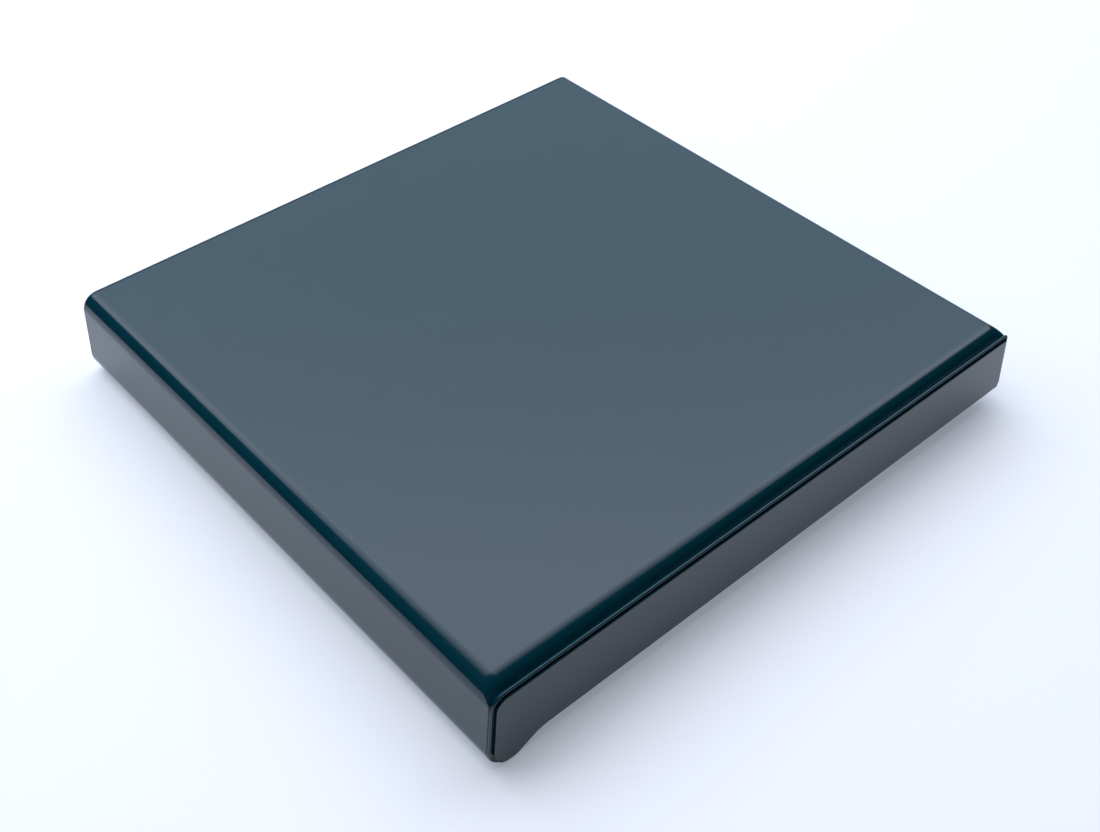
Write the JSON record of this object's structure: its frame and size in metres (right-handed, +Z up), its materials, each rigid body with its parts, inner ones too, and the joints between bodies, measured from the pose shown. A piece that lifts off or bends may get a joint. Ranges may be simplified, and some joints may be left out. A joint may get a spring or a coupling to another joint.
{
  "type": "fence post cap",
  "caption": "Flat square pillar cap of folded coated sheet with rolled edges, a deep front drip nose, separate end plates and inner hat rails with threaded inserts.",
  "frame": {"origin": "middle of the pillar's top, on the plane where the seat strips rest, at the centre of the four threaded inserts", "axes": "+Z up through the cap's top; the deep drip nose faces -Y; the end plates face -X and +X"},
  "size_m": [0.4, 0.4084, 0.0578],
  "materials": {
    "coated_sheet": "gloss powder coat, dark petrol blue",
    "coated_plate": "gloss powder coat, dark petrol blue",
    "galvanised_sheet": "galvanised",
    "zinc_steel": "bright zinc plated",
    "bond_tape": "closed-cell foam tape",
    "seat_rubber": "matt EPDM",
    "damping_mat": "bitumen felt"
  },
  "bodies": {
    "root": {"cover": "coated_sheet", "left_end_plate": "coated_plate", "right_end_plate": "coated_plate", "anti_drum_mat": "damping_mat", "left_plate_studs": "zinc_steel", "right_plate_studs": "zinc_steel", "left_stud_washers": "zinc_steel", "right_stud_washers": "zinc_steel", "left_stud_nuts": "zinc_steel", "right_stud_nuts": "zinc_steel", "front_rail": "galvanised_sheet", "rear_rail": "galvanised_sheet", "front_rail_bond_strips": "bond_tape", "rear_rail_bond_strips": "bond_tape", "front_rail_inserts": "zinc_steel", "rear_rail_inserts": "zinc_steel", "front_seat_strip": "seat_rubber", "rear_seat_strip": "seat_rubber"}
  },
  "joints": []
}
